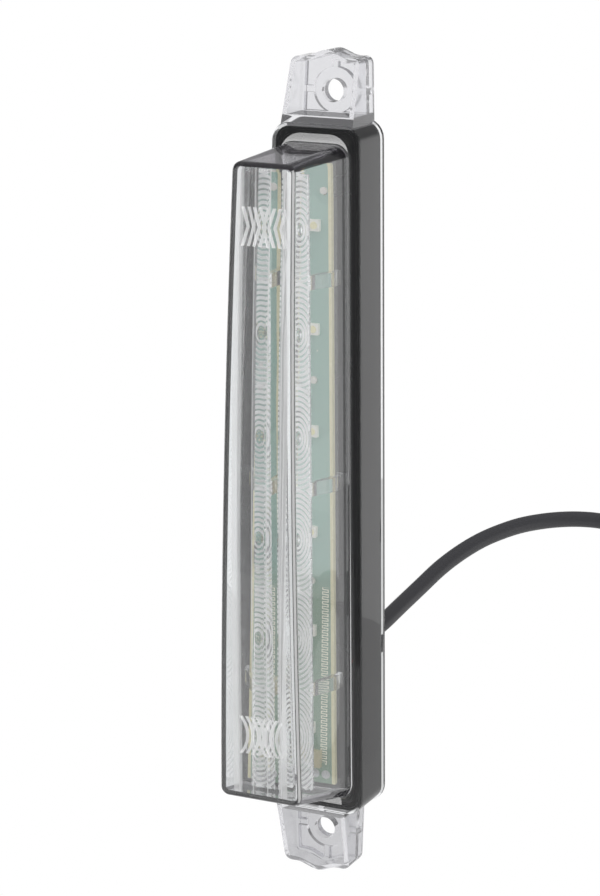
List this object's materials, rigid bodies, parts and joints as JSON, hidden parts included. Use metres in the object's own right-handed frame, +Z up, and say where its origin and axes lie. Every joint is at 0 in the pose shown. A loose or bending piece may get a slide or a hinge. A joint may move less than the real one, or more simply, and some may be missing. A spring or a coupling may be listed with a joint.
{
  "type": "position lamp",
  "caption": "Upright strip position lamp with a clear domed cover, ring-lens light strip, screw tabs at both ends and a lead from the back.",
  "frame": {"origin": "midpoint between the two screw holes, on the lamp's back face", "axes": "+Z up along the line of the two screw holes, -Y out of the front face, +X to the right seen from the front"},
  "size_m": [0.1037, 0.179, 0.2655],
  "materials": {
    "clear_plastic": "clear, polished",
    "clear_optic_plastic": "clear, polished with fine rings",
    "black_plastic": "fine moulded grain",
    "seal_foam": "matt",
    "board_green": "solder mask over glass fibre",
    "led_package": "white package with yellow phosphor",
    "capacitor_body": "ceramic",
    "chip_plastic": "moulded",
    "solder": "bright solder",
    "core_red": "satin",
    "core_black": "satin",
    "gland_rubber": "matt",
    "cable_sheath": "satin",
    "tie_plastic": "moulded",
    "ferrule_metal": "tinned"
  },
  "bodies": {
    "root": {"lens_cover": "clear_plastic", "housing": "black_plastic", "seal": "seal_foam", "circuit_board": "board_green", "led_1": "led_package", "led_2": "led_package", "led_3": "led_package", "led_4": "led_package", "led_5": "led_package", "led_6": "led_package", "optic_strip": "clear_optic_plastic", "capacitor": "capacitor_body", "protection_diode": "chip_plastic", "driver_chip": "chip_plastic", "resistor_1": "chip_plastic", "resistor_2": "chip_plastic", "resistor_3": "chip_plastic", "solder_joints": "solder", "core_red": "core_red", "core_black": "core_black", "cable_gland": "gland_rubber", "cable": "cable_sheath", "cable_tail": "cable_sheath", "cable_coil": "cable_sheath", "cable_tie": "tie_plastic", "end_core_red": "core_red", "end_core_black": "core_black", "ferrule_1": "ferrule_metal", "ferrule_2": "ferrule_metal"}
  },
  "joints": []
}
